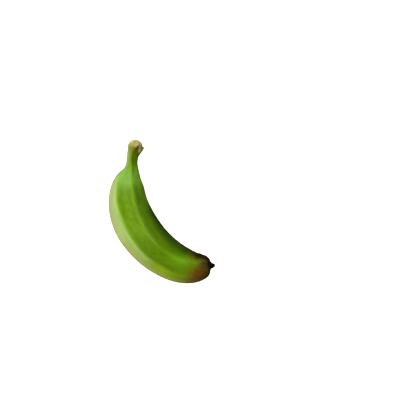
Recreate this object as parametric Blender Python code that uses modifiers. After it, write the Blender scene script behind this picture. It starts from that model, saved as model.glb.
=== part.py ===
"""A baby banana, picked and lying on its side, as one solid.

The fruit is a coarse cage of rings along its bent middle line, smoothed by Subdivision Surface.
Metres, +Z up. The bend lies flat: the stem points to +Y, the blossom end to +X, the outer curve to -X and -Y.
Angles round a ring start at the outer curve and go up over the top of the fruit to the inner curve.
"""

import math

import bmesh
import bpy
from mathutils import Matrix, Vector

MM = 0.001
NAME = "baby_banana"

# The rings, from the stem end to the blossom end, in millimetres and degrees:
# the middle's x, y and height, the size across the ridges, how flat the faces between the ridges are
# (0 is round, 1 is flat), and how far the ridges have wound round the fruit
RINGS = (
    (-16.8, 47.3, 15.2, 3.8, 0.0, -12),
    (-16.9, 46.1, 15.1, 7.6, 0.0, -12),
    (-16.9, 44.5, 14.9, 8.6, 0.0, -12),
    (-16.9, 42.3, 14.7, 9.8, 0.1, -12),
    (-18.0, 39.2, 14.4, 9.0, 0.4, -12),
    (-19.0, 35.4, 14.0, 7.5, 0.7, -12),
    (-19.3, 31.4, 13.5, 7.6, 0.8, -6),
    (-19.7, 27.3, 12.9, 10.6, 0.85, 6),
    (-21.3, 22.6, 12.2, 17.4, 0.9, 14),
    (-22.0, 17.0, 11.7, 22.0, 0.95, 16),
    (-21.9, 9.6, 12.0, 25.0, 0.95, 17),
    (-20.1, 0.2, 12.7, 27.5, 0.95, 15),
    (-15.3, -10.6, 13.1, 28.8, 0.95, 8),
    (-7.7, -20.9, 12.6, 28.2, 0.95, 2),
    (1.9, -29.0, 11.5, 26.4, 0.95, -1),
    (11.7, -34.1, 10.5, 24.4, 0.9, -4),
    (19.7, -35.9, 9.8, 21.3, 0.8, -3),
    (26.0, -35.4, 9.3, 17.3, 0.5, -3),
    (29.8, -34.2, 9.1, 12.4, 0.2, -3),
    (31.3, -33.9, 9.1, 8.8, 0.0, -3),
    (31.8, -33.9, 9.2, 6.4, 0.0, -3),
    (33.0, -33.8, 9.4, 4.6, 0.0, -3),
    (34.3, -33.4, 9.6, 2.2, 0.0, -3),
)

# The five ridges round the thickest ring
RIDGE_ANGLES = (-20, 48, 101, 174, 250)
RIDGE_HALF_WIDTH = 13
SIDES = 3 * len(RIDGE_ANGLES)
HEIGHT_TO_WIDTH = 0.96

# The cork on the torn stem end: knobbly rings, with a flap left standing on the inner side
CORK_RINGS = (1, 2, 3)
KNOB_HEIGHT = 0.05
KNOBS = 4
FLAP_RING = 3
FLAP_SIDE = 11
FLAP_PULL = 1.6

# Subdivision Surface draws a ridge in to this share of its cage
SHRINKING = 0.957
SMOOTHING_LEVELS = 2
PRESSED_FLAT = 0.6

PEEL_GREEN = (0.17, 0.36, 0.03, 1)
PEEL_ROUGHNESS = 0.42


def section(flatness, wound):
    """The points round a ring of radius 1: each ridge, and a point on the face on each side of it."""
    angles = [angle + wound for angle in RIDGE_ANGLES]
    for before, ridge, after in zip(angles[-1:] + angles[:-1], angles, angles[1:] + angles[:1]):
        for side, neighbour in ((-1, before), (0, ridge), (1, after)):
            half_face = math.radians(side * (neighbour - ridge) % 360 / 2)
            flat_face = math.cos(half_face) / math.cos(half_face - math.radians(RIDGE_HALF_WIDTH))
            radius = 1 + flatness * (flat_face - 1) if side else 1
            yield math.radians(ridge + side * RIDGE_HALF_WIDTH), radius / SHRINKING


def cork(number, side):
    """How far a point of the torn stem end stands out, as a share of the ring's radius."""
    if number == FLAP_RING and side == FLAP_SIDE:
        return FLAP_PULL
    if number in CORK_RINGS:
        return 1 + KNOB_HEIGHT * math.sin(math.tau * KNOBS * side / SIDES + number)
    return 1


def ring_points(number):
    """One ring of the cage, square to the middle line."""
    x, y, height, across, flatness, wound = RINGS[number]
    behind = Vector(RINGS[max(number - 1, 0)][:3])
    ahead = Vector(RINGS[min(number + 1, len(RINGS) - 1)][:3])
    along = (ahead - behind).normalized()
    outward = along.cross(Vector((0, 0, 1))).normalized()
    upward = outward.cross(along) * HEIGHT_TO_WIDTH
    centre = Vector((x, y, height))
    for side, (angle, radius) in enumerate(section(flatness, wound)):
        reach = radius * cork(number, side) * across / 2
        yield centre + outward * reach * math.cos(angle) + upward * reach * math.sin(angle)


def cage_mesh():
    """Extrudes a ring along the middle line, and closes both ends."""
    cage = bmesh.new()
    ring = bmesh.ops.create_circle(cage, segments=SIDES, radius=1)["verts"]
    edges = list(cage.edges)
    for number in range(len(RINGS)):
        if number:
            grown = bmesh.ops.extrude_edge_only(cage, edges=edges)["geom"]
            ring = [part for part in grown if isinstance(part, bmesh.types.BMVert)]
            edges = [part for part in grown if isinstance(part, bmesh.types.BMEdge)]
        for vertex, point in zip(ring, ring_points(number)):
            vertex.co = point
    bmesh.ops.holes_fill(cage, edges=cage.edges, sides=SIDES)
    bmesh.ops.recalc_face_normals(cage, faces=cage.faces)
    mesh = bpy.data.meshes.new(NAME)
    cage.to_mesh(mesh)
    cage.free()
    mesh.transform(Matrix.Scale(MM, 4))
    return mesh


def smooth(fruit):
    """Rounds the cage, and keeps the rounded mesh."""
    smoothing = fruit.modifiers.new("smoothing", "SUBSURF")
    smoothing.levels = SMOOTHING_LEVELS
    smoothing.render_levels = SMOOTHING_LEVELS
    rounded = fruit.evaluated_get(bpy.context.evaluated_depsgraph_get())
    cage = fruit.data
    fruit.data = bpy.data.meshes.new_from_object(rounded)
    fruit.modifiers.clear()
    bpy.data.meshes.remove(cage)
    fruit.data.name = NAME
    fruit.data.shade_smooth()


def settle(mesh):
    """Presses the underside flat where the fruit rests, and puts the origin under its middle."""
    level = min(vertex.co.z for vertex in mesh.vertices) + PRESSED_FLAT * MM
    for vertex in mesh.vertices:
        vertex.co.z = max(vertex.co.z, level)
    middle = [(min(v.co[k] for v in mesh.vertices) + max(v.co[k] for v in mesh.vertices)) / 2 for k in (0, 1)]
    mesh.transform(Matrix.Translation((-middle[0], -middle[1], -level)))


def peel_material():
    material = bpy.data.materials.new("green peel")
    material.use_nodes = True
    shader = material.node_tree.nodes["Principled BSDF"]
    shader.inputs["Base Color"].default_value = PEEL_GREEN
    shader.inputs["Roughness"].default_value = PEEL_ROUGHNESS
    shader.inputs["Metallic"].default_value = 0
    return material


def main():
    for thing in list(bpy.data.objects):
        bpy.data.objects.remove(thing)
    collection = bpy.data.collections.new("baby banana")
    bpy.context.scene.collection.children.link(collection)
    fruit = bpy.data.objects.new(NAME, cage_mesh())
    collection.objects.link(fruit)
    smooth(fruit)
    settle(fruit.data)
    fruit.data.materials.append(peel_material())


main()
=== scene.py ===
"""The looks of one green baby banana, lying on its side in a plain studio.

The fruit is modelled straight, along X from its stem end to its blossom end, then bent along its middle line.
Metres, +Z up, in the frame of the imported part. Values for the fruit are in millimetres and degrees.
Angles round the fruit start at its outer curve and go up over its top to its inner curve.
"""
import math
from collections import namedtuple

import bmesh
import bpy
import numpy as np
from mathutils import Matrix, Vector, noise


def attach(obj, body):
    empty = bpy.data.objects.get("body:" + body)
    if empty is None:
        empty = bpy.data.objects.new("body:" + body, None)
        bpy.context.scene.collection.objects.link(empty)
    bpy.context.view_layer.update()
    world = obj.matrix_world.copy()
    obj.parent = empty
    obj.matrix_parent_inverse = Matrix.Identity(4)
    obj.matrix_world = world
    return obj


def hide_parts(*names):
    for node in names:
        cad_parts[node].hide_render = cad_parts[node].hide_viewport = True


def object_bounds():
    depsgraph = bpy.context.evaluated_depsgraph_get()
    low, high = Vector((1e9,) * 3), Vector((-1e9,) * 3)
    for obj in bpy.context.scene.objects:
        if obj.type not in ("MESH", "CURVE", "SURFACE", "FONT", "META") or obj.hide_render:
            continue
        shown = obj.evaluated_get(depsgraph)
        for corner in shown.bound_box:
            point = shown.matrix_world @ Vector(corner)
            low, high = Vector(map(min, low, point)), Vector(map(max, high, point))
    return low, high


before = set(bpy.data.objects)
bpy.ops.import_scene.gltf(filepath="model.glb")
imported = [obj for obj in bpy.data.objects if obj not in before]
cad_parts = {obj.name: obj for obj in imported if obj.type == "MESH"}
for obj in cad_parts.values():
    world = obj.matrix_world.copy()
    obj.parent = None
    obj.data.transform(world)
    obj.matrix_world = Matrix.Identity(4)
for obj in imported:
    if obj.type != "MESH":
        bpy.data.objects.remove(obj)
cad_low, cad_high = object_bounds()

MM = 0.001
NODE = "baby_banana"

# The rings, from the stem end to the blossom end, as the solid has them: the middle's x, y and height,
# the size across the ridges, how flat the faces between the ridges are (0 is round, 1 is flat), and how far
# the ridges have wound round the fruit
Ring = namedtuple("Ring", "x y height across flatness wound")
RINGS = (
    Ring(-16.8, 47.3, 15.2, 3.8, 0.0, -12),
    Ring(-16.9, 46.1, 15.1, 7.6, 0.0, -12),
    Ring(-16.9, 44.5, 14.9, 8.6, 0.0, -12),
    Ring(-16.9, 42.3, 14.7, 9.8, 0.1, -12),
    Ring(-18.0, 39.2, 14.4, 9.0, 0.4, -12),
    Ring(-19.0, 35.4, 14.0, 7.5, 0.7, -12),
    Ring(-19.3, 31.4, 13.5, 7.6, 0.8, -6),
    Ring(-19.7, 27.3, 12.9, 10.6, 0.85, 6),
    Ring(-21.3, 22.6, 12.2, 17.4, 0.9, 14),
    Ring(-22.0, 17.0, 11.7, 22.0, 0.95, 16),
    Ring(-21.9, 9.6, 12.0, 25.0, 0.95, 17),
    Ring(-20.1, 0.2, 12.7, 27.5, 0.95, 15),
    Ring(-15.3, -10.6, 13.1, 28.8, 0.95, 8),
    Ring(-7.7, -20.9, 12.6, 28.2, 0.95, 2),
    Ring(1.9, -29.0, 11.5, 26.4, 0.95, -1),
    Ring(11.7, -34.1, 10.5, 24.4, 0.9, -4),
    Ring(19.7, -35.9, 9.8, 21.3, 0.8, -3),
    Ring(26.0, -35.4, 9.3, 17.3, 0.5, -3),
    Ring(29.8, -34.2, 9.1, 12.4, 0.2, -3),
    Ring(31.3, -33.9, 9.1, 8.8, 0.0, -3),
    Ring(31.8, -33.9, 9.2, 6.4, 0.0, -3),
    Ring(33.0, -33.8, 9.4, 4.6, 0.0, -3),
    Ring(34.3, -33.4, 9.6, 2.2, 0.0, -3),
)

# The five ridges round the thickest ring, and the ones that the fine shape follows. An angle that is measured
# from the ridges, wherever they have wound to, counts on from the first angle, on the underside.
RIDGE_ANGLES = (-20, 48, 101, 174, 250)
OUTER_RIDGE, SIDE_RIDGE, TOP_RIDGE, INNER_RIDGE = RIDGE_ANGLES[:4]
RIDGES = len(RIDGE_ANGLES)
FIRST_ANGLE = -110
RIDGE_HALF_WIDTH = 13
RIDGE_BEVEL = 0.245

# The height against the width, the share of its cage that the smoothed fruit keeps, how deep its resting spot
# is pressed flat, and how finely its surface and its middle line are made
HEIGHT_TO_WIDTH = 0.96
SHRINKING = 0.98
PRESSED_FLAT = 0.6
SMOOTHING_LEVELS = 4
LINE_ORDER = 4
LINE_STEPS = 24

# How close a vertex is to a place, in metres, or to an angle round the fruit, when it is taken to be there,
# and the smallest radius that a direction is worked out from
AT_PLACE = 1e-6
AT_CORNER = 1
AT_SIDE = 4
THINNEST = 0.1

# In the fine shape, a pair of places along or round the fruit says where something begins and is full, and
# four places also say where it fades and is gone. A spot is its middle and half length along the fruit, then
# its middle and half width round it.

# Rough noise in the fine shape: how fast its finer octaves fade, and how much finer each one is
OCTAVE_FADE = 1.0
OCTAVE_RATIO = 2.0

# The body of the fruit: soft waves, the line on the top ridge, and the full inner face
BODY = (12, 26, 100, 112)
WAVES = 0.15
WAVE_SIZE = 11
WAVE_STRETCH = (0.5, 1, 1)
RIDGE_LINE = 0.16
RIDGE_LINE_HALF_WIDTH = 1.1
RIDGE_LINE_SPREAD = 0.5
RIDGE_LINE_SPREADS = (84, 98)
RIDGE_LINE_SHIFT = 2.5
NECK_LINE_SHIFT = 3.5
NECK_LINE_ENDS = (42, 60)
INNER_SWELL = 0.7

# Low swellings and hollows: height, the middle and half width round the fruit, and the stretch along it.
# At the shoulder the outer ridge starts softly, and a groove runs beside the top one.
SHOULDER = (16, 22, 30, 40)
SWELLINGS = (
    (0.46, INNER_RIDGE, 30, (8, 13, 106, 112)),
    (-0.25, 0, 40, (58, 70, 86, 98)),
    (-0.5, SIDE_RIDGE, 10, SHOULDER),
    (-0.12, 117, 9, SHOULDER),
    (0.9, 148, 19, SHOULDER),
)

# The torn stem end: fibres, a wandering edge, knobs of cork, a cleft and a pit, and the lip of the peel
FIBRES = 0.07
FIBRES_FADE = (18, 40)
STRAND_LENGTH = 9
STRANDS_ROUND = 6
CORK_END = 5.0
CORK_EDGE_WANDER = 0.7
CORK_EDGE_STRETCH = (0, 0.4, 0.4)
CORK_EDGE_SOFTNESS = 0.3
KNOB_HEIGHT = 0.65
KNOB_SIZE = 2.3
KNOB_LEVEL = 0.6
KNOB_SEED = 3
KNOBS_END = 8
KNOB_UNEVENNESS = 0.45
KNOB_UNEVEN_SCALE = 1.3
CORK_GRAIN = 0.14
CORK_GRAIN_SIZE = 0.5
PEEL_LIP = 0.15
PEEL_LIP_LENGTH = 2
CLEFT = (5.4, 1.2, 140, 13)
CLEFT_DEPTH = 0.7
PIT = (6.4, 0.7, 63, 12)
PIT_DEPTH = 0.3
CORK_SHOULDER = (4.4, 0.9, 122, 12)
CORK_SHOULDER_HEIGHT = 0.3

# The flap of peel torn loose beside the cork
FLAP_ANGLE = 188
FLAP_ROOT = 10.0
FLAP_TIP = 4.9
FLAP_TIP_LENGTH = 1.1
FLAP_HEIGHT = 1.25
FLAP_LEAN = 0.35
FLAP_HALF_WIDTH = 20
FLAP_NARROWING = 0.45
FLAP_FLAT_SHARE = 0.25

# The dried blossom end: folds and a thin nub
DRIED = (111, 116)
FOLDS = 0.3
FOLD_LEVEL = 0.7
FOLD_STRETCH = (0, 0.45, 0.45)
FOLD_START = (7, 0, 0)
NUB = (115.7, 116.7)
NUB_GRAIN = 0.2
NUB_GRAIN_SIZE = 0.8

# How both ends are drawn out, in and sideways after they are carved. A bulge of the cork is its side, with 1
# for the inner one, its size, and its middle and half length along the fruit.
NUB_STRETCH = 0.4
NUB_STRETCHES = (117, 119)
CORK_STRETCH = 0.3
CORK_STRETCHES = (1.5, 0)
WAIST = 0.25
WAIST_NARROWS = (115, 117)
BLOSSOM_FULLNESS = 1.1
BLOSSOM_FULL = (107, 112.5, 115.8, 117.2)
BLOSSOM_INNER_SIDE = (-0.5, 0.6)
NUB_BEND = 0.45
NUB_BENDS = (116.3, 118.3)
CORK_BULGES = ((-1, 0.45, 3, 1.6), (1, 0.4, 3.4, 1.6))

# The guides that the colours follow. The pale outer face ends at an angle that grows in steps: how much, from
# where along the fruit, and to where. OUTER_FACE_END and PALE_LINE are measured from that angle, and
# CORK_FADE from the cork's edge. A line, a slope or a face given by two values is its middle and half width.
PALE_EDGE = 30
PALE_EDGE_STEPS = ((11, 26, 42), (12, 41, 56), (4, 76, 88))
OUTER_FACE_START = (-75, -40)
OUTER_FACE_END = (-6, 7)
PALE_LINE = (-5, 5)
PALE_LINE_STRETCH = (28, 40, 64, 78)
OUTERMOST = (-60, -30, -15, 45)
OUTER_LINE = (OUTER_RIDGE + 3, 1.8)
OUTER_LINE_STRETCH = (28, 46, 96, 108)
# The next is a painted shade beside the side ridge
SHADE_BESIDE_SIDE_RIDGE = (56, 10)
INNER_SLOPE = (112, 13)
INNER_SLOPE_STRETCH = (40, 52, 84, 96)
UPPER_FACE = (93, 20)
# The next two fade the painted sheen towards the inner side
SHEEN_FADES = (98, 107)
SHEEN_FADE_SHARE = 0.75
# The next two place a painted shade, as in a hollow, beside the top ridge at the shoulder
HOLLOW_SHADE_BAND = (96, 102, 110, 124)
HOLLOW_SHADE_STRETCH = (30, 37, 42, 54)
TOP_LINE_STRETCH = (12, 26, 106, 113)
CORK_FADE = (-1.6, 2.6)
# The next two place painted shade in the gaps between the knobs
KNOB_GAP_SHADE = (0.55, 0.8)
KNOB_GAP_SHADE_SHARE = 0.35
# The next two place a painted highlight on the cork
CORK_HIGHLIGHT_BAND = (98, 112, 124, 180)
CORK_HIGHLIGHT_LENGTH = (3.9, 1.7)
FLAP_INSIDE = (148, 156, 172, 184)
FLAP_INSIDE_STRETCH = (4.8, 5.8, 6.8, 8.8)

# The peel's colours, in linear light: mostly its own, with painted shade, sheen and highlights where said
# above them
MIDDLE_GREEN = (0.165, 0.335, 0.004)
# A painted sheen over the waxy bloom
WAXY_SHEEN_GREEN = (0.18, 0.33, 0.022)
DEEP_GREEN = (0.120, 0.248, 0.001)
BRIGHT_GREEN = (0.175, 0.41, 0.005)
# A near black green, laid on for painted shade and for the peel's own darker mottling
SHADE_AND_DARK_MOTTLE = (0.012, 0.03, 0.001)
NECK_GREEN = (0.265, 0.53, 0.075)
NECK_SLOPE_GREEN = (0.235, 0.53, 0.025)
# The outer face's pale greens: partly its own paler colour, partly a painted sheen
PALE_GREEN = (0.19, 0.315, 0.045)
PALEST_GREEN = (0.235, 0.33, 0.08)
LINE_GREEN = (0.225, 0.40, 0.05)
EDGE_TAN = (0.22, 0.235, 0.065)
EDGE_PALE = (0.32, 0.345, 0.10)
RIDGE_TAN = (0.125, 0.125, 0.035)
LOW_GREEN = (0.165, 0.27, 0.005)
LOWEST_GREEN = (0.25, 0.385, 0.006)
# Painted shade along the inner side
INNER_SHADE_GREEN = (0.045, 0.11, 0.002)
# The top ridge's paler line with a painted highlight, and the painted highlight towards the blossom end
RIDGE_GREEN_AND_HIGHLIGHT = (0.155, 0.44, 0.005)
RIDGE_TIP_HIGHLIGHT = (0.215, 0.46, 0.025)
STEM_OLIVE = (0.145, 0.165, 0.003)
STEM_YELLOW = (0.205, 0.19, 0.018)
STEM_PALE = (0.24, 0.305, 0.12)
OLIVE = (0.19, 0.215, 0.003)
EDGE_OLIVE = (0.33, 0.355, 0.035)
RED_BROWN = (0.22, 0.098, 0.006)
PINK_BROWN = (0.30, 0.16, 0.06)
DRY_BROWN = (0.10, 0.092, 0.014)
DARK_BROWN = (0.020, 0.012, 0.001)
BLACK = (0.006, 0.004, 0.005)
CORK_YELLOW = (0.64, 0.63, 0.33)
CORK_TAN = (0.56, 0.49, 0.20)
# A painted highlight on the cork
CORK_HIGHLIGHT_PINK = (0.80, 0.70, 0.33)
CORK_BROWN = (0.30, 0.22, 0.06)
CORK_OLIVE = (0.31, 0.30, 0.05)
# Painted shade in the cleft, the pit and the gaps between the knobs
CREVICE_SHADE = (0.13, 0.085, 0.004)
# The flap's pale inside, partly its own colour and partly painted light
FLAP_TAN = (0.66, 0.63, 0.24)
SPECK = (0.10, 0.055, 0.015)
RUBBED = (0.27, 0.19, 0.07)

# The peel's noise patterns: the stretch along and across the fruit, the scale, the detail and the roughness
PATTERNS = {
    "streaks": ((0.06, 0.6, 0.6), 1.0, 3.0, 0.5),
    "bands": ((0.03, 0.9, 0.9), 1.0, 2.0, 0.5),
    "clouds": ((0.6, 1, 1), 0.2, 4.0, 0.6),
    "blotches": ((0.6, 1, 1), 0.55, 3.0, 0.6),
    "freckles": ((0.6, 1, 1), 1.0, 5.0, 0.7),
    "grain": ((0.7, 1, 1), 1.3, 4.0, 0.7),
    "flecks": ((0.25, 1, 1), 0.8, 5.0, 0.7),
    "dots": ((0.5, 1, 1), 1.9, 2.0, 0.5),
    "wander": ((1, 1, 1), 0.3, 5.0, 0.65),
    "crumbs": ((1, 1, 1), 0.9, 4.0, 0.6),
    "cork clouds": ((1, 1, 1), 0.55, 4.0, 0.65),
    "pores": ((0.4, 1, 1), 2.2, 4.0, 0.6),
}
PALE_DOT_SCALE = 1.3

# Stretches of colour, along the fruit and one round it: where each begins, is full, fades and is gone.
# Round the fruit, -1 is the outer curve, 0 the top or the underside, and 1 the inner curve.
NECK = (16, 27, 28, 46)
# The next is where the painted sheen on the upper face lies
WAXY_SHEEN_STRETCH = (26, 44, 70, 84)
RIDGE_WORN = (64, 75, 80, 91)
DRY_BROWN_SIDE = (-0.7, -0.1, 0.1, 0.6)

# Changes of colour along the fruit: from and to, and the shares at both where they aren't 0 and 1
DEEPER = (54, 84)
LIGHTER_AGAIN = (94, 102, 0, 0.8)
NECK_SLOPE = (22, 32)
# The next five place the painted shade on the inner side
INNER_SHADE = (40, 62)
INNER_SHADE_WIDENS = (60, 100, 0, 0.25)
INNERMOST_SHADE = (46, 62)
INNERMOST_DEEPENS = (72, 88, 0.45, 0.6)
INNER_EDGE_SHADE = (40, 52, 0, 0.6)
MOTTLED = (20, 46, 0.4, 1)
# The next two say where the painted shade beside the side ridge starts and fades
BESIDE_SHADE_STARTS = (24, 34)
BESIDE_SHADE_FADES = (44, 58, 0.2, 0.08)
# The next three place the top ridge's painted highlight and a painted highlight on the upper face
RIDGE_HIGHLIGHT_GROWS = (82, 98, 0.28, 1)
RIDGE_TIP_STARTS = (92, 100)
UPPER_FACE_HIGHLIGHT = (84, 96, 0, 0.5)
LOW_STARTS = (75, 85)
LOWEST_STARTS = (82, 93)
EDGE_PALES = (48, 64)
FLECKED = (34, 48)
OUTER_FACE_STARTS = (20, 30)
OUTER_FACE_FADES = (82, 104, 1, 0.15)
EDGE_TURNS_OLIVE = (78, 92, 0, 0.8)
SPECKED = (40, 60)
RIDGE_RUBBED = (60, 76, 0, 0.3)
STEM_PALES = (26, 15)
# The next is where the painted shade on the stem's inner side lies
STEM_SHADE_STRETCH = (20, 12, 0, 0.3)
STEM_TURNS_OLIVE = (12.5, 7.5)
STEM_YELLOWS = (8, 4.5, 0, 0.6)
CORK_DARKENS = (0.4, 4.2)
BLOSSOM_TURNS_OLIVE = (97, 105)
REDDENS = (99.2, 108)
BROWN_GRAIN = (101, 107)
PINK_BLOTCHES = (101, 106)
PALE_DOTS_START = (101, 106)
PALE_DOTS_END = (115, 113)
DRY_BROWN_STARTS = (108, 113)
CHARRED = (112, 117)
NUB_BLACK = (114, 116)
DULL_END = (104, 116)

# Changes of colour round the fruit, written the same way
NECK_INNER_FADE = (1, 0.4, 0.3, 1)
NECK_OUTER_FADE = (-0.75, 0, 0.25, 1)
NECK_SLOPE_SIDE = (0.2, 0.6)
# The next three place the painted shade on the inner side
INNER_SIDE = (0.53, 1.03)
INNERMOST = (0.82, 1)
INNER_EDGE = (0.92, 1)
STEM_PALE_SIDE = (-0.05, -0.8)
# The next is the side of the stem that takes painted shade
STEM_SHADE_SIDE = (-0.6, 0)
STEM_OLIVE_SIDE = (0, -0.75, 1, 0.4)
RED_SIDE = (-0.6, 0.4)

# How the patterns show, written the same way: from and to which level of the noise
NOISE_MIDDLE = 0.5
# The next is how the painted sheen follows the streaks
SHEEN_STREAKS = (0.4, 0.6, 0.3, 1)
DARK_CLOUDS = (0.4, 0.65, 0, 0.2)
DARK_STREAKS = (0.55, 0.35, 0, 0.11)
DARK_BLOTCHES = (0.35, 0.65, 0, 0.15)
DARK_FRECKLES = (0.5, 0.66, 0, 0.2)
PALEST_BANDS = (0.4, 0.6)
GREEN_BLOTCHES = (0.4, 0.65, 0, 0.3)
EDGE_GRAIN = (0.35, 0.6, 0.5, 1)
TAN_FLECKS = (0.45, 0.65, 0, 0.3)
RIDGE_GRAIN = (0.3, 0.6, 0.2, 0.6)
SPECK_DOTS = (0.62, 0.68, 0, 0.9)
SPECK_GRAIN = (0.6, 0.7, 0, 0.35)
EDGE_SPECK_GRAIN = (0.42, 0.55)
RUBBED_CLOUDS = (0.52, 0.62)
RUBBED_GRAIN = (0.4, 0.6)
WORN_BLOTCHES = (0.42, 0.6, 0, 0.25)
DARK_GRAIN = (0.45, 0.6, 0, 0.6)
PINK_LEVELS = (0.5, 0.6, 0, 0.45)
PALE_DOT_EDGE = (0.22, 0.12, 0, 0.35)
YELLOW_CRUMBS = (0.42, 0.6)
BROWN_CORK_CLOUDS = (0.52, 0.64, 0, 0.5)
CORK_EDGE_LEVELS = (0.25, 0.75)
STREAK_ROUGHNESS = (0.3, 0.7, 0.4, 0.48)

# How strongly the guides show in the colours
# The next is how dark the painted shade in the hollow is
HOLLOW_SHADE_SHARE = 0.33
INNER_SLOPE_SHARE = 0.3
PALE_LINE_SHARE = 0.6
OUTERMOST_RUBBED = 0.6
UPPER_FACE_GREEN = 0.6
# The next two are a painted highlight on the cork and painted shade in its crevices
CORK_HIGHLIGHT_SHARE = 0.7
CREVICE_SHADE_SHARE = 0.9

# How far noise pushes the edge of a colour along the fruit, and how much later the inner side reddens and
# how much sooner it blackens
STEM_WANDER = 6
BLOSSOM_WANDER = 11
CHAR_WANDER = 8
CORK_WANDER = 7
CORK_EDGE_CRUMBS = 1.2
REDDENS_LATER_INSIDE = 9
BLACKENS_FROM = 100
BLACKENS_ALONG = 0.7
BLACKENS_INSIDE = 14
BLACKENED = (4.4, 17)

# The peel's gloss and pores
DULLNESS = 0.35
GLOSS = 0.27
GLOSS_TINT = (0.85, 1, 0.2, 1)
PORE_STRENGTH = 0.25
PORE_DEPTH = 0.2
STREAK_RELIEF = 0.8

# The camera: an 85 mm lens that looks down on the fruit, which lies left of the middle of the view
LENS = 85
SENSOR = 36
ELEVATION = 75
VIEW_WIDTH = 256
LOOKS_AT = (24.66, 6.62, 12.65)

# The studio, in metres and watts. A softbox has the azimuth and elevation that it shines from, its power, and
# whether the peel shows its reflection. A bright floor has its two corners and how strongly it glows.
FLOOR_SIZE = 6
FLOOR_WHITE = (0.9, 0.9, 0.9, 1)
FLOOR_ROUGHNESS = 0.8
WHITE = (1, 1, 1, 1)
SOFTBOX_SIZE = 0.7
SOFTBOXES = (
    ("side", 210, 25, 11, True),
    ("behind", 100, 28, 8, False),
    ("top", 60, 75, 1.3, False),
    ("right", 20, 50, 1.1, False),
    ("upper side", 180, 45, 1.0, True),
)
BRIGHT_FLOORS = (
    ("near floor", (-0.12, -0.08), (-0.04, 0.08), 1.75),
    ("wide floor", (-0.5, -0.5), (-0.03, -0.05), 1.55),
)
BRIGHT_FLOOR_HEIGHT = 0.0005
STUDIO_GLOW = 0.07


def deselect_all():
    bpy.ops.object.select_all(action="DESELECT")


def choose(kind, wanted):
    """Selects the open mesh's verts, edges or faces that are wanted, and nothing else."""
    bpy.ops.mesh.select_all(action="DESELECT")
    opened = bmesh.from_edit_mesh(bpy.context.object.data)
    for item in filter(wanted, getattr(opened, kind)):
        item.select_set(True)
    opened.select_flush_mode()
    bmesh.update_edit_mesh(bpy.context.object.data)


def angle_round(point):
    """The angle round the straight fruit, in degrees from the outer curve over the top."""
    return math.degrees(math.atan2(point.z, -point.y))


def apart(one, other):
    """The angle between two directions, in degrees."""
    return abs((one - other + 180) % 360 - 180)


def is_at(place, point):
    """Whether a point is this far along the straight fruit."""
    return abs(point.x - place) < AT_PLACE


def is_end_face(face, place):
    """Whether a face closes the fruit at this place: the faces along its sides have four corners."""
    return len(face.verts) > 4 and is_at(place, face.calc_center_median())


def is_on_side(point, angles):
    """Whether a point is at one of these angles round the straight fruit."""
    return any(apart(angle_round(point), angle) < AT_SIDE for angle in angles)


def next_ridge(side):
    """The angle of the ridge after this one, past 360 after the last."""
    return (RIDGE_ANGLES + (RIDGE_ANGLES[0] + 360,))[side + 1]


def stations(length):
    """How far along the straight fruit each ring is, spread over this length."""
    middles = [Vector(ring[:3]) for ring in RINGS]
    steps = [(after - before).length for before, after in zip(middles, middles[1:])]
    scale = length / sum(steps)
    return [sum(steps[:number]) * scale for number in range(len(RINGS))]


def face_reach(side, flatness):
    """How far out the points beside a ridge stand on the face after it, for a ridge at 1."""
    half_face = math.radians(next_ridge(side) - RIDGE_ANGLES[side]) / 2
    flat_face = math.cos(half_face) / math.cos(half_face - math.radians(RIDGE_HALF_WIDTH))
    return 1 + flatness * (flat_face - 1)


def middle_line():
    """A smooth curve along the middle of the bent fruit."""
    line = bpy.data.curves.new("middle line", "CURVE")
    line.dimensions = "3D"
    line.twist_mode = "Z_UP"
    spline = line.splines.new("NURBS")
    spline.points.add(len(RINGS) - 1)
    for point, ring in zip(spline.points, RINGS):
        point.co = (*(Vector(ring[:3]) * MM), 1)
    spline.order_u = LINE_ORDER
    spline.resolution_u = LINE_STEPS
    spline.use_endpoint_u = True
    guide = bpy.data.objects.new("middle line", line)
    bpy.context.scene.collection.objects.link(guide)
    return guide


def section(at, ring):
    """Starts the fruit as a five-sided face, each corner turned to its ridge and cut into three points."""
    radius = ring.across / 2 / SHRINKING * MM
    across_x = (math.pi, math.pi / 2, 0)
    bpy.ops.mesh.primitive_circle_add(
        vertices=RIDGES, radius=radius, fill_type="NGON", location=(at, 0, 0), rotation=across_x
    )
    fruit = bpy.context.object
    bpy.ops.object.transform_apply(location=True, rotation=True, scale=True)
    bpy.ops.object.mode_set(mode="EDIT")
    for corner, ridge in enumerate(RIDGE_ANGLES):
        even = corner * 360 / RIDGES
        choose("verts", lambda v: apart(angle_round(v.co), even) < AT_CORNER)
        turn_round(ridge - even, at)
    bpy.ops.mesh.select_all(action="SELECT")
    bpy.ops.mesh.bevel(affect="VERTICES", offset=RIDGE_BEVEL * radius, segments=2, profile=1)
    bpy.ops.mesh.select_all(action="SELECT")
    turn_round(ring.wound, at)
    return fruit


def turn_round(angle, at):
    """Turns what is selected round the straight middle line, up from the outer curve over the top.

    With no window the operator turns the other way, which here is the way wanted.
    """
    bpy.ops.transform.rotate(
        value=math.radians(angle), orient_axis="X", orient_type="GLOBAL", center_override=(at, 0, 0)
    )


def widen(ratio, at):
    """Moves what is selected away from the straight middle line, or towards it."""
    bpy.ops.transform.resize(value=(1, ratio, ratio), center_override=(at, 0, 0))


def round_off(at, wound, before, after):
    """Moves the points beside the ridges of the end ring from one flatness of the faces to the next."""
    for side, ridge in enumerate(RIDGE_ANGLES):
        on_face = (ridge + wound + RIDGE_HALF_WIDTH, next_ridge(side) + wound - RIDGE_HALF_WIDTH)
        choose("verts", lambda v: is_at(at, v.co) and is_on_side(v.co, on_face))
        widen(face_reach(side, after) / face_reach(side, before), at)


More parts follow.
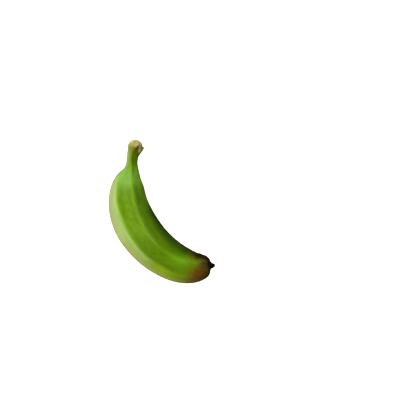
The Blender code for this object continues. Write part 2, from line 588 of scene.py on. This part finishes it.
def grow(places):
    """Extrudes the end face from ring to ring."""
    round_off(places[0], RINGS[0].wound, 1, RINGS[0].flatness)
    for before, ring, start, at in zip(RINGS, RINGS[1:], places, places[1:]):
        choose("faces", lambda f: is_end_face(f, start))
        bpy.ops.mesh.extrude_region_move(TRANSFORM_OT_translate={"value": (at - start, 0, 0)})
        widen(ring.across / before.across, at)
        if ring.wound != before.wound:
            turn_round(ring.wound - before.wound, at)
        if ring.flatness != before.flatness:
            round_off(at, ring.wound, before.flatness, ring.flatness)
    bpy.ops.mesh.select_all(action="SELECT")
    bpy.ops.transform.resize(value=(1, 1, HEIGHT_TO_WIDTH), center_override=(0, 0, 0))
    bpy.ops.mesh.normals_make_consistent(inside=False)
    bpy.ops.object.mode_set(mode="OBJECT")


def apply(piece, kind, **settings):
    modifier = piece.modifiers.new(kind.lower(), kind)
    for name, value in settings.items():
        setattr(modifier, name, value)
    bpy.ops.object.modifier_apply(modifier=modifier.name)


def smoothstep(low, high, value):
    """Goes smoothly from 0 to 1 as the value goes from low to high, or back where high is the smaller."""
    share = np.clip((value - low) / (high - low), 0, 1)
    return share * share * (3 - 2 * share)


def between(value, low, inside_low, inside_high, high):
    """1 where the value is inside, fading to 0 at low and high."""
    return smoothstep(low, inside_low, value) * (1 - smoothstep(inside_high, high, value))


def near(value, middle, width):
    """1 where the value is in the middle, fading to a third at its width."""
    return np.exp(-(((value - middle) / width) ** 2))


def rough(points, size, octaves=1):
    """Smooth noise, about -1 to 1, with lumps of this size."""
    scaled = points / size
    if octaves == 1:
        return np.array([noise.noise(p) for p in scaled])
    return np.array([noise.fractal(p, OCTAVE_FADE, OCTAVE_RATIO, octaves) for p in scaled])


def knob_distance(points, wanted):
    """How far each point lies from the middle of its knob, for the wanted points: 0 is the middle.

    Noise vectors differ from run to run unless a seed is set.
    """
    noise.seed_set(KNOB_SEED)
    away = np.zeros(len(points))
    for number in np.nonzero(wanted)[0]:
        point = Vector(points[number]) / KNOB_SIZE
        uneven = KNOB_UNEVENNESS * noise.noise_vector(KNOB_UNEVEN_SCALE * point)
        away[number] = noise.voronoi(point + uneven)[0][0]
    return away


def read(fruit, what):
    values = np.empty(3 * len(fruit.data.vertices), dtype=np.float32)
    fruit.data.vertices.foreach_get(what, values)
    return values.reshape(-1, 3).astype(float)


def keep(fruit, name, kind, values):
    """Keeps values for each vertex as an attribute that the peel's nodes read."""
    field = "vector" if kind == "FLOAT_VECTOR" else "value"
    attribute = fruit.data.attributes.new(name, kind, "POINT")
    attribute.data.foreach_set(field, np.ravel(values).astype(np.float32))


class Surface:
    """The straight fruit's points in millimetres, and where each of them lies on it."""

    def __init__(self, fruit, places):
        self.points = read(fruit, "co") / MM
        self.normals = read(fruit, "normal")
        self.along = self.points[:, 0]
        sides = self.points[:, 1:] / (1, HEIGHT_TO_WIDTH)
        self.radius = np.hypot(*sides.T)
        self.angle = np.degrees(np.arctan2(sides[:, 1], -sides[:, 0]))
        wound = np.interp(self.along, np.array(places) / MM, [ring.wound for ring in RINGS])
        self.turned = (self.angle - wound - FIRST_ANGLE) % 360 + FIRST_ANGLE
        turn = np.radians(self.angle)
        across = (np.cos(turn) * STRANDS_ROUND, np.sin(turn) * STRANDS_ROUND)
        self.strands = np.stack([self.along / STRAND_LENGTH, *across], axis=1)
        self.outward = self.points * (0, 1, 1) / self.radius[:, None].clip(THINNEST)
        self.top_line = self.find_top_line()
        self.cork_edge = CORK_END + CORK_EDGE_WANDER * rough(self.strands * CORK_EDGE_STRETCH, 1)
        softness = CORK_EDGE_SOFTNESS
        self.cork = 1 - smoothstep(self.cork_edge - softness, self.cork_edge + softness, self.along)
        self.from_knob = knob_distance(self.points, self.along < KNOBS_END)

    def stretch(self, values):
        """1 inside a stretch along the fruit, and 0 outside it."""
        return between(self.along, *values)

    def band(self, values):
        """1 inside a band round the fruit, and 0 outside it."""
        return between(self.turned, *values)

    def line(self, angle, width):
        """1 on a line along the fruit at this angle, with its half width in millimetres."""
        return near(np.radians(self.turned - angle) * self.radius, 0, width)

    def spot(self, middle, half_length, angle, half_width):
        """1 in the middle of a spot."""
        return near(self.along, middle, half_length) * near(self.turned, angle, half_width)

    def find_top_line(self):
        """The line along the top ridge, a little outside it. It spreads towards the blossom end."""
        at_neck = 1 - smoothstep(*NECK_LINE_ENDS, self.along)
        angle = TOP_RIDGE - RIDGE_LINE_SHIFT - NECK_LINE_SHIFT * at_neck
        spread = 1 + RIDGE_LINE_SPREAD * smoothstep(*RIDGE_LINE_SPREADS, self.along)
        return self.line(angle, RIDGE_LINE_HALF_WIDTH * spread)


def body_relief(surface):
    """Soft waves, the line on the top ridge, a full inner face, and low swellings and hollows."""
    height = WAVES * rough(surface.points * WAVE_STRETCH, WAVE_SIZE)
    height += RIDGE_LINE * surface.top_line
    across_inner_face = (surface.turned - TOP_RIDGE) / (INNER_RIDGE - TOP_RIDGE)
    height += INNER_SWELL * np.sin(math.pi * across_inner_face.clip(0, 1))
    height *= surface.stretch(BODY)
    for swelling, angle, width, stretch in SWELLINGS:
        height += swelling * near(surface.turned, angle, width) * surface.stretch(stretch)
    return height


def stem_relief(surface):
    """Fibres along the stem, and its torn end: knobs of cork, a cleft, a pit, and the lip of the peel."""
    along, peel = surface.along, 1 - surface.cork
    fibres = FIBRES * rough(surface.strands, 1, 2) * (1 - smoothstep(*FIBRES_FADE, along))
    lip = PEEL_LIP * (1 - smoothstep(CORK_END, CORK_END + PEEL_LIP_LENGTH, along))
    grain = CORK_GRAIN * rough(surface.points, CORK_GRAIN_SIZE, 2)
    knobs = KNOB_HEIGHT * (KNOB_LEVEL - surface.from_knob)
    height = (fibres + lip) * peel + (knobs + grain) * surface.cork
    height -= CLEFT_DEPTH * surface.spot(*CLEFT) + PIT_DEPTH * surface.spot(*PIT)
    return height + CORK_SHOULDER_HEIGHT * surface.spot(*CORK_SHOULDER)


def blossom_relief(surface):
    """The dried blossom end: folds in the peel, and a rough nub."""
    creases = np.abs(rough(surface.strands * FOLD_STRETCH + FOLD_START, 1))
    folds = FOLDS * smoothstep(*DRIED, surface.along) * (creases - FOLD_LEVEL)
    return folds + NUB_GRAIN * smoothstep(*NUB, surface.along) * rough(surface.points, NUB_GRAIN_SIZE, 2)


def flap_height(surface):
    """A strip of peel torn loose: it stands off slowly from its root, and ends in a point."""
    rise = np.clip((FLAP_ROOT - surface.along) / (FLAP_ROOT - FLAP_TIP), 0, 1)
    rise *= smoothstep(FLAP_TIP - FLAP_TIP_LENGTH, FLAP_TIP, surface.along)
    half_width = FLAP_HALF_WIDTH * (1 - FLAP_NARROWING * rise)
    from_middle = apart(surface.turned, FLAP_ANGLE) / half_width
    return FLAP_HEIGHT * rise * (1 - smoothstep(FLAP_FLAT_SHARE, 1, from_middle))


def drawn_out(surface, moved):
    """Stretches and widens the cork, fills and narrows the blossom end, and bends its nub."""
    along, inward = surface.along, surface.outward[:, 1]
    moved[:, 0] += NUB_STRETCH * smoothstep(*NUB_STRETCHES, along)
    moved[:, 0] -= CORK_STRETCH * smoothstep(*CORK_STRETCHES, along)
    moved[:, 1:] *= (1 - WAIST * smoothstep(*WAIST_NARROWS, along))[:, None]
    on_inner_side = smoothstep(*BLOSSOM_INNER_SIDE, inward)
    moved[:, 1] += BLOSSOM_FULLNESS * surface.stretch(BLOSSOM_FULL) * on_inner_side
    moved[:, 1] -= NUB_BEND * smoothstep(*NUB_BENDS, along)
    for way, bulge, middle, half_length in CORK_BULGES:
        moved[:, 1] += way * bulge * near(along, middle, half_length) * np.maximum(way * inward, 0)
    return moved


def carve(fruit, places):
    """Cuts the fine shape into the straight fruit, and keeps what the peel's colours follow."""
    surface = Surface(fruit, places)
    height = body_relief(surface) + stem_relief(surface) + blossom_relief(surface)
    moved = surface.points + surface.normals * height[:, None]
    moved += (surface.outward - (FLAP_LEAN, 0, 0)) * flap_height(surface)[:, None]
    moved = drawn_out(surface, moved)
    fruit.data.vertices.foreach_set("co", (moved * MM).ravel().astype(np.float32))
    fruit.data.update()
    keep(fruit, "straight", "FLOAT_VECTOR", moved)
    for name, values in colour_guides(surface).items():
        keep(fruit, name, "FLOAT", values)


def colour_guides(surface):
    """What the peel's colours follow: for each vertex, how much it belongs to each part of the surface."""
    along, turned = surface.along, surface.turned
    pale_edge = PALE_EDGE + sum(wider * smoothstep(low, high, along) for wider, low, high in PALE_EDGE_STEPS)
    line_middle, line_width = PALE_LINE
    upper_face = near(turned, *UPPER_FACE)
    # Painted shade in the gaps between the knobs
    gap_shade = KNOB_GAP_SHADE_SHARE * surface.cork * smoothstep(*KNOB_GAP_SHADE, surface.from_knob)
    cork_highlight = near(along, *CORK_HIGHLIGHT_LENGTH)
    return {
        "inner": -np.cos(np.radians(surface.angle)),
        "outer face": between(turned, *OUTER_FACE_START, *(pale_edge + end for end in OUTER_FACE_END)),
        "pale line": near(turned, pale_edge + line_middle, line_width) * surface.stretch(PALE_LINE_STRETCH),
        "outermost": surface.band(OUTERMOST),
        "outer ridge": surface.line(*OUTER_LINE) * surface.stretch(OUTER_LINE_STRETCH),
        # Painted shade beside the side ridge
        "beside": near(turned, *SHADE_BESIDE_SIDE_RIDGE),
        "inner slope": near(turned, *INNER_SLOPE) * surface.stretch(INNER_SLOPE_STRETCH),
        "upper face": upper_face,
        # A painted sheen on the waxy upper face
        "waxy sheen": upper_face * (1 - SHEEN_FADE_SHARE * smoothstep(*SHEEN_FADES, turned)),
        # Painted shade in a hollow beside the top ridge
        "hollow shade": surface.band(HOLLOW_SHADE_BAND) * surface.stretch(HOLLOW_SHADE_STRETCH),
        "ridge": surface.top_line * surface.stretch(TOP_LINE_STRETCH),
        "cork": 1 - smoothstep(*CORK_FADE, along - surface.cork_edge),
        # Painted shade in the crevices, then a painted highlight on the cork
        "crevice shade": np.clip(surface.spot(*CLEFT) + surface.spot(*PIT) + gap_shade, 0, 1),
        "cork highlight": surface.band(CORK_HIGHLIGHT_BAND) * cork_highlight,
        "flap": surface.stretch(FLAP_INSIDE_STRETCH) * surface.band(FLAP_INSIDE),
    }


def make_fruit():
    """Models the fruit straight, smooths and carves it, and bends it."""
    deselect_all()
    guide = middle_line()
    places = stations(guide.data.splines[0].calc_length())
    fruit = section(places[0], RINGS[0])
    grow(places)
    fruit.name = fruit.data.name = "peel"
    apply(fruit, "SUBSURF", levels=SMOOTHING_LEVELS, render_levels=SMOOTHING_LEVELS)
    carve(fruit, places)
    apply(fruit, "CURVE", object=guide, deform_axis="POS_X")
    bpy.data.objects.remove(guide)
    bpy.ops.object.shade_smooth()
    return fruit


def settle(fruit):
    """Presses the underside flat where the fruit rests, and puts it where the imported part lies."""
    points = read(fruit, "co")
    level = points[:, 2].min() + PRESSED_FLAT * MM
    points[:, 2] = np.maximum(points[:, 2], level) - level
    points[:, :2] += np.array(cad_low[:2]) - points[:, :2].min(axis=0)
    fruit.data.vertices.foreach_set("co", points.ravel())
    fruit.data.update()


class Nodes:
    """Shorthand for one material's nodes: each call adds a node and gives its output socket."""

    def __init__(self, tree):
        self.tree = tree

    def add(self, kind, inputs, output=0, **settings):
        made = self.tree.nodes.new(kind)
        for name, value in settings.items():
            setattr(made, name, value)
        for name, value in inputs.items():
            if isinstance(value, bpy.types.NodeSocket):
                self.tree.links.new(value, made.inputs[name])
            else:
                made.inputs[name].default_value = value
        return made.outputs[output]

    def attribute(self, name, output="Fac"):
        return self.add("ShaderNodeAttribute", {}, output, attribute_name=name)

    def math(self, operation, first, second):
        return self.add("ShaderNodeMath", {0: first, 1: second}, operation=operation)

    def plus(self, first, second):
        return self.math("ADD", first, second)

    def minus(self, first, second):
        return self.math("SUBTRACT", first, second)

    def larger(self, first, second):
        return self.math("MAXIMUM", first, second)

    def times(self, first, *others):
        for other in others:
            first = self.math("MULTIPLY", first, other)
        return first

    def step(self, value, low, high, start=0.0, end=1.0):
        """Goes smoothly from start to end as the value goes from low to high."""
        inputs = {"Value": value, "From Min": low, "From Max": high, "To Min": start, "To Max": end}
        return self.add("ShaderNodeMapRange", inputs, interpolation_type="SMOOTHSTEP")

    def between(self, value, low, inside_low, inside_high, high):
        """1 where the value is inside, fading to 0 at low and high."""
        return self.times(self.step(value, low, inside_low), self.step(value, high, inside_high))

    def noise(self, coordinates, stretch, scale, detail, roughness):
        stretched = self.add("ShaderNodeVectorMath", {0: coordinates, 1: stretch}, operation="MULTIPLY")
        inputs = {"Vector": stretched, "Scale": scale, "Detail": detail, "Roughness": roughness}
        return self.add("ShaderNodeTexNoise", inputs)

    def spots(self, coordinates, scale):
        return self.add("ShaderNodeTexVoronoi", {"Vector": coordinates, "Scale": scale}, "Distance")

    def mix(self, share, first, second):
        first, second = [(*c, 1) if isinstance(c, tuple) else c for c in (first, second)]
        return self.add("ShaderNodeMix", {0: share, 6: first, 7: second}, 2, data_type="RGBA")

    def lay(self, base, colour, *shares):
        """Lays a colour over the base, as strongly as all these shares multiplied."""
        return self.mix(self.times(*shares), base, colour)


class Peel(Nodes):
    """The peel's nodes, with the places and patterns that its parts share."""

    def __init__(self, tree):
        super().__init__(tree)
        self.straight = self.attribute("straight", "Vector")
        self.along = self.add("ShaderNodeSeparateXYZ", {0: self.straight})
        self.inner = self.attribute("inner")
        self.ridge = self.attribute("ridge")
        self.cork = self.attribute("cork")
        self.upper_face = self.attribute("upper face")
        self.outermost = self.attribute("outermost")
        self.patterns = {}
        self.wander = self.minus(self.pattern("wander"), NOISE_MIDDLE)
        self.into_blossom = self.plus(self.along, self.times(self.wander, BLOSSOM_WANDER))

    def pattern(self, name):
        """One of the peel's noise patterns, made when it is first asked for."""
        if name not in self.patterns:
            self.patterns[name] = self.noise(self.straight, *PATTERNS[name])
        return self.patterns[name]


def green_peel(n):
    """Green, paler at the neck, with a paler line and a painted highlight along the top ridge, a painted
    sheen on the waxy upper face, painted shade on the inner side and beside the side ridge, mottled, and a
    painted highlight on the upper face towards the blossom end.
    """
    green = n.mix(n.step(n.along, *DEEPER), MIDDLE_GREEN, DEEP_GREEN)
    green = n.lay(green, MIDDLE_GREEN, n.step(n.along, *LIGHTER_AGAIN))
    slope = n.times(n.step(n.inner, *NECK_SLOPE_SIDE), n.step(n.along, *NECK_SLOPE))
    neck = n.times(n.step(n.inner, *NECK_INNER_FADE), n.step(n.inner, *NECK_OUTER_FADE))
    neck_green = n.mix(slope, NECK_GREEN, NECK_SLOPE_GREEN)
    green = n.lay(green, neck_green, n.between(n.along, *NECK), neck)
    green = inner_shade(n, green)
    green = n.lay(green, BRIGHT_GREEN, n.attribute("inner slope"), INNER_SLOPE_SHARE)
    # A painted sheen on the waxy upper face
    streaky = n.step(n.pattern("streaks"), *SHEEN_STREAKS)
    green = n.lay(green, WAXY_SHEEN_GREEN, n.attribute("waxy sheen"), n.between(n.along, *WAXY_SHEEN_STRETCH), streaky)
    green = mottled(n, green)
    # Painted shade beside the side ridge
    shade_beside_ridge = n.times(n.step(n.along, *BESIDE_SHADE_STARTS), n.step(n.along, *BESIDE_SHADE_FADES))
    green = n.lay(green, SHADE_AND_DARK_MOTTLE, n.attribute("beside"), shade_beside_ridge)
    # The top ridge's paler line with a painted highlight, and a painted highlight on the upper face towards
    # the blossom end
    lit_ridge = n.mix(n.step(n.along, *RIDGE_TIP_STARTS), RIDGE_GREEN_AND_HIGHLIGHT, RIDGE_TIP_HIGHLIGHT)
    green = n.lay(green, lit_ridge, n.ridge, n.step(n.along, *RIDGE_HIGHLIGHT_GROWS))
    return n.lay(green, BRIGHT_GREEN, n.upper_face, n.step(n.along, *UPPER_FACE_HIGHLIGHT))


def inner_shade(n, green):
    """Painted shade: the green darkens on the inner side, most along its edge, and in a hollow beside the
    shoulder.
    """
    widened = n.plus(n.inner, n.step(n.along, *INNER_SHADE_WIDENS))
    green = n.lay(green, INNER_SHADE_GREEN, n.step(widened, *INNER_SIDE), n.step(n.along, *INNER_SHADE))
    innermost = n.times(n.step(n.inner, *INNERMOST), n.step(n.along, *INNERMOST_SHADE))
    green = n.lay(green, SHADE_AND_DARK_MOTTLE, innermost, n.step(n.along, *INNERMOST_DEEPENS))
    green = n.lay(green, SHADE_AND_DARK_MOTTLE, n.step(n.inner, *INNER_EDGE), n.step(n.along, *INNER_EDGE_SHADE))
    return n.lay(green, SHADE_AND_DARK_MOTTLE, n.attribute("hollow shade"), HOLLOW_SHADE_SHARE)


def mottled(n, green):
    """Darker clouds, streaks, blotches and freckles, all but the streaks fainter on the neck."""
    on_body = n.step(n.along, *MOTTLED)
    green = n.lay(green, SHADE_AND_DARK_MOTTLE, n.step(n.pattern("clouds"), *DARK_CLOUDS), on_body)
    green = n.lay(green, SHADE_AND_DARK_MOTTLE, n.step(n.pattern("streaks"), *DARK_STREAKS))
    green = n.lay(green, SHADE_AND_DARK_MOTTLE, n.step(n.pattern("blotches"), *DARK_BLOTCHES), on_body)
    return n.lay(green, SHADE_AND_DARK_MOTTLE, n.step(n.pattern("freckles"), *DARK_FRECKLES), on_body)


def outer_face(n, green):
    """The outer face is banded: pale green with paler stripes, tan along its edge, and flecked. Its paleness
    is partly its own colour and partly a painted sheen.
    """
    grain = n.pattern("grain")
    pale = n.mix(n.step(n.pattern("bands"), *PALEST_BANDS), PALE_GREEN, PALEST_GREEN)
    pale = n.lay(pale, MIDDLE_GREEN, n.step(n.pattern("blotches"), *GREEN_BLOTCHES))
    pale = n.lay(pale, LOW_GREEN, n.step(n.along, *LOW_STARTS))
    pale = n.lay(pale, LOWEST_GREEN, n.step(n.along, *LOWEST_STARTS))
    edge = n.mix(n.step(n.along, *EDGE_PALES), EDGE_TAN, EDGE_PALE)
    pale = n.lay(pale, edge, n.outermost, n.step(grain, *EDGE_GRAIN))
    pale = n.lay(pale, RIDGE_TAN, n.step(n.pattern("flecks"), *TAN_FLECKS), n.step(n.along, *FLECKED))
    face = n.times(n.attribute("outer face"), n.step(n.along, *OUTER_FACE_STARTS))
    green = n.lay(green, pale, face, n.step(n.along, *OUTER_FACE_FADES))
    green = n.lay(green, LINE_GREEN, n.attribute("pale line"), PALE_LINE_SHARE)
    green = n.lay(green, EDGE_OLIVE, n.outermost, n.step(n.along, *EDGE_TURNS_OLIVE))
    return n.lay(green, RIDGE_TAN, n.attribute("outer ridge"), n.step(grain, *RIDGE_GRAIN))


def marks(n, green):
    """Brown specks, rubbed patches on the ridges, and a worn stretch of the top ridge."""
    grain = n.pattern("grain")
    on_edge = n.times(n.outermost, n.step(n.along, *SPECKED), n.step(grain, *EDGE_SPECK_GRAIN))
    specked = n.larger(on_edge, n.step(grain, *SPECK_GRAIN))
    green = n.lay(green, SPECK, n.step(n.pattern("dots"), *SPECK_DOTS), specked)
    on_ridge = n.times(n.ridge, n.step(n.along, *RIDGE_RUBBED))
    on_ridges = n.larger(n.times(n.outermost, OUTERMOST_RUBBED), on_ridge)
    rubbed = n.times(n.step(n.pattern("clouds"), *RUBBED_CLOUDS), n.step(grain, *RUBBED_GRAIN))
    green = n.lay(green, RUBBED, rubbed, on_ridges)
    worn = n.times(n.between(n.along, *RIDGE_WORN), n.step(n.pattern("blotches"), *WORN_BLOTCHES))
    return n.lay(green, RED_BROWN, n.ridge, worn)


def stem(n, green):
    """The stem is pale on its outer side, with painted shade on its inner side, and turns olive and yellow
    towards the cork.
    """
    green = n.lay(green, STEM_PALE, n.step(n.inner, *STEM_PALE_SIDE), n.step(n.along, *STEM_PALES))
    # Painted shade on the stem's inner side
    green = n.lay(green, SHADE_AND_DARK_MOTTLE, n.step(n.inner, *STEM_SHADE_SIDE), n.step(n.along, *STEM_SHADE_STRETCH))
    to_cork = n.plus(n.along, n.times(n.wander, STEM_WANDER))
    olive = n.times(n.step(to_cork, *STEM_TURNS_OLIVE), n.step(n.inner, *STEM_OLIVE_SIDE))
    green = n.lay(green, STEM_OLIVE, olive)
    return n.lay(green, STEM_YELLOW, n.step(to_cork, *STEM_YELLOWS))


def blossom_end(n, colour):
    """The blossom end turns olive, then red-brown on the outer side and nearly black on the inner side."""
    off_upper_face = n.minus(1.0, n.times(n.upper_face, UPPER_FACE_GREEN))
    colour = n.lay(colour, OLIVE, n.step(n.into_blossom, *BLOSSOM_TURNS_OLIVE), off_upper_face)
    later_inside = n.times(n.step(n.inner, *RED_SIDE), REDDENS_LATER_INSIDE)
    reddened = n.minus(n.into_blossom, later_inside)
    colour = n.lay(colour, RED_BROWN, n.step(reddened, *REDDENS))
    dark = n.step(n.pattern("grain"), *DARK_GRAIN)
    colour = n.lay(colour, DARK_BROWN, n.step(reddened, *BROWN_GRAIN), dark)
    pink = n.step(n.pattern("blotches"), *PINK_LEVELS)
    colour = n.lay(colour, PINK_BROWN, n.step(reddened, *PINK_BLOTCHES), pink)
    blackened = n.times(n.minus(n.into_blossom, BLACKENS_FROM), BLACKENS_ALONG)
    blackened = n.plus(blackened, n.times(n.inner, BLACKENS_INSIDE))
    colour = n.lay(colour, DARK_BROWN, n.step(blackened, *BLACKENED))
    dotted = n.times(n.step(reddened, *PALE_DOTS_START), n.step(n.along, *PALE_DOTS_END))
    dots = n.step(n.spots(n.straight, PALE_DOT_SCALE), *PALE_DOT_EDGE)
    return n.lay(colour, EDGE_TAN, dots, dotted)


def dried_tip(n, colour):
    """The last of the blossom end is dry and charred, with a dry brown patch on top, and its nub is black."""
    charred = n.times(n.minus(n.pattern("blotches"), NOISE_MIDDLE), CHAR_WANDER)
    charred = n.plus(n.along, charred)
    dry = n.times(n.step(charred, *DRY_BROWN_STARTS), n.between(n.inner, *DRY_BROWN_SIDE))
    colour = n.lay(colour, DRY_BROWN, dry)
    colour = n.lay(colour, DARK_BROWN, n.step(charred, *CHARRED))
    return n.lay(colour, BLACK, n.step(n.along, *NUB_BLACK))


def torn_end(n, colour):
    """The torn end: pale cork with tan crumbs and a painted pink highlight, painted shade in its crevices,
    and the pale inside of the flap, partly painted light.
    """
    crumbs = n.pattern("crumbs")
    torn = n.mix(n.step(crumbs, *YELLOW_CRUMBS), CORK_TAN, CORK_YELLOW)
    darker = n.plus(n.along, n.times(n.wander, CORK_WANDER))
    torn = n.lay(torn, CORK_OLIVE, n.step(darker, *CORK_DARKENS))
    torn = n.lay(torn, CORK_BROWN, n.step(n.pattern("cork clouds"), *BROWN_CORK_CLOUDS))
    # A painted highlight on the cork
    torn = n.lay(torn, CORK_HIGHLIGHT_PINK, n.attribute("cork highlight"), CORK_HIGHLIGHT_SHARE)
    crumbly = n.plus(n.cork, n.times(n.minus(crumbs, NOISE_MIDDLE), CORK_EDGE_CRUMBS))
    colour = n.lay(colour, torn, n.step(crumbly, *CORK_EDGE_LEVELS))
    # The flap's pale inside, partly painted light, then painted shade in the crevices
    colour = n.lay(colour, FLAP_TAN, n.attribute("flap"))
    return n.lay(colour, CREVICE_SHADE, n.attribute("crevice shade"), CREVICE_SHADE_SHARE)


def finish(n, shader):
    """A satin gloss, duller on the cork and the dried end, over fine pores."""
    streaks = n.pattern("streaks")
    dull = n.larger(n.cork, n.step(n.into_blossom, *DULL_END))
    roughness = n.plus(n.step(streaks, *STREAK_ROUGHNESS), n.times(dull, DULLNESS))
    n.tree.links.new(roughness, shader.inputs["Roughness"])
    shader.inputs["Specular IOR Level"].default_value = GLOSS
    shader.inputs["Specular Tint"].default_value = GLOSS_TINT
    relief = n.plus(n.pattern("pores"), n.times(streaks, STREAK_RELIEF))
    inputs = {"Strength": PORE_STRENGTH, "Distance": PORE_DEPTH * MM, "Height": relief}
    n.tree.links.new(n.add("ShaderNodeBump", inputs), shader.inputs["Normal"])


def peel_material():
    """The whole peel's colours, laid over each other from the green up, with its gloss and pores."""
    material = bpy.data.materials.new("green peel")
    material.use_nodes = True
    n = Peel(material.node_tree)
    shader = material.node_tree.nodes["Principled BSDF"]
    colour = marks(n, outer_face(n, green_peel(n)))
    colour = dried_tip(n, blossom_end(n, stem(n, colour)))
    colour = torn_end(n, colour)
    n.tree.links.new(colour, shader.inputs["Base Color"])
    finish(n, shader)
    return material


def floor():
    bpy.ops.mesh.primitive_plane_add(size=FLOOR_SIZE)
    plane = bpy.context.object
    plane.name = "floor"
    material = bpy.data.materials.new("white floor")
    material.use_nodes = True
    shader = material.node_tree.nodes["Principled BSDF"]
    shader.inputs["Base Color"].default_value = FLOOR_WHITE
    shader.inputs["Roughness"].default_value = FLOOR_ROUGHNESS
    shader.inputs["Emission Color"].default_value = WHITE
    shader.inputs["Emission Strength"].default_value = 1
    plane.data.materials.append(material)
    plane.visible_diffuse = False
    plane.visible_glossy = False


def direction(azimuth, elevation):
    """From the fruit towards a light: azimuth 0 is +X and 90 is +Y."""
    azimuth, elevation = math.radians(azimuth), math.radians(elevation)
    level = math.cos(elevation)
    return Vector((math.cos(azimuth) * level, math.sin(azimuth) * level, math.sin(elevation)))


def lamp(name, shape, size, power, location, towards, shines=True):
    """A lamp that the camera doesn't see. Where it doesn't shine, the peel shows no reflection of it."""
    light = bpy.data.lights.new(name, "AREA")
    light.shape = shape
    light.size, light.size_y = size
    light.energy = power
    hung = bpy.data.objects.new(name, light)
    bpy.context.scene.collection.objects.link(hung)
    hung.location = location
    hung.rotation_euler = Vector(towards).to_track_quat("-Z", "Y").to_euler()
    hung.visible_camera = False
    hung.visible_glossy = shines


def bright_floor(name, low, high, glow):
    """A part of the floor that glows and shines in the peel, as overexposed paper does."""
    size = (high[0] - low[0], high[1] - low[1])
    middle = ((low[0] + high[0]) / 2, (low[1] + high[1]) / 2, BRIGHT_FLOOR_HEIGHT)
    lamp(name, "RECTANGLE", size, math.pi * size[0] * size[1] * glow, middle, (0, 0, 1))


def lights():
    """Softboxes a metre from the fruit, the bright floor, and a faint glow all round."""
    for name, azimuth, elevation, power, shines in SOFTBOXES:
        place = direction(azimuth, elevation)
        lamp(name, "DISK", (SOFTBOX_SIZE, SOFTBOX_SIZE), power, place, -place, shines)
    for name, low, high, glow in BRIGHT_FLOORS:
        bright_floor(name, low, high, glow)
    world = bpy.data.worlds.new("studio")
    world.use_nodes = True
    world.node_tree.nodes["Background"].inputs["Color"].default_value = WHITE
    world.node_tree.nodes["Background"].inputs["Strength"].default_value = STUDIO_GLOW
    bpy.context.scene.world = world


def camera():
    lens = bpy.data.cameras.new("camera")
    lens.lens = LENS
    lens.sensor_width = SENSOR
    eye = bpy.data.objects.new("camera", lens)
    bpy.context.scene.collection.objects.link(eye)
    back = Vector((0, -math.cos(math.radians(ELEVATION)), math.sin(math.radians(ELEVATION))))
    eye.location = (Vector(LOOKS_AT) + back * VIEW_WIDTH * LENS / SENSOR) * MM
    eye.rotation_euler = (-back).to_track_quat("-Z", "Y").to_euler()
    bpy.context.scene.camera = eye


fruit = make_fruit()
settle(fruit)
fruit.data.materials.append(peel_material())
floor()
lights()
camera()
bpy.context.scene.view_settings.view_transform = "Standard"
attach(fruit, "root")
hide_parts(NODE)
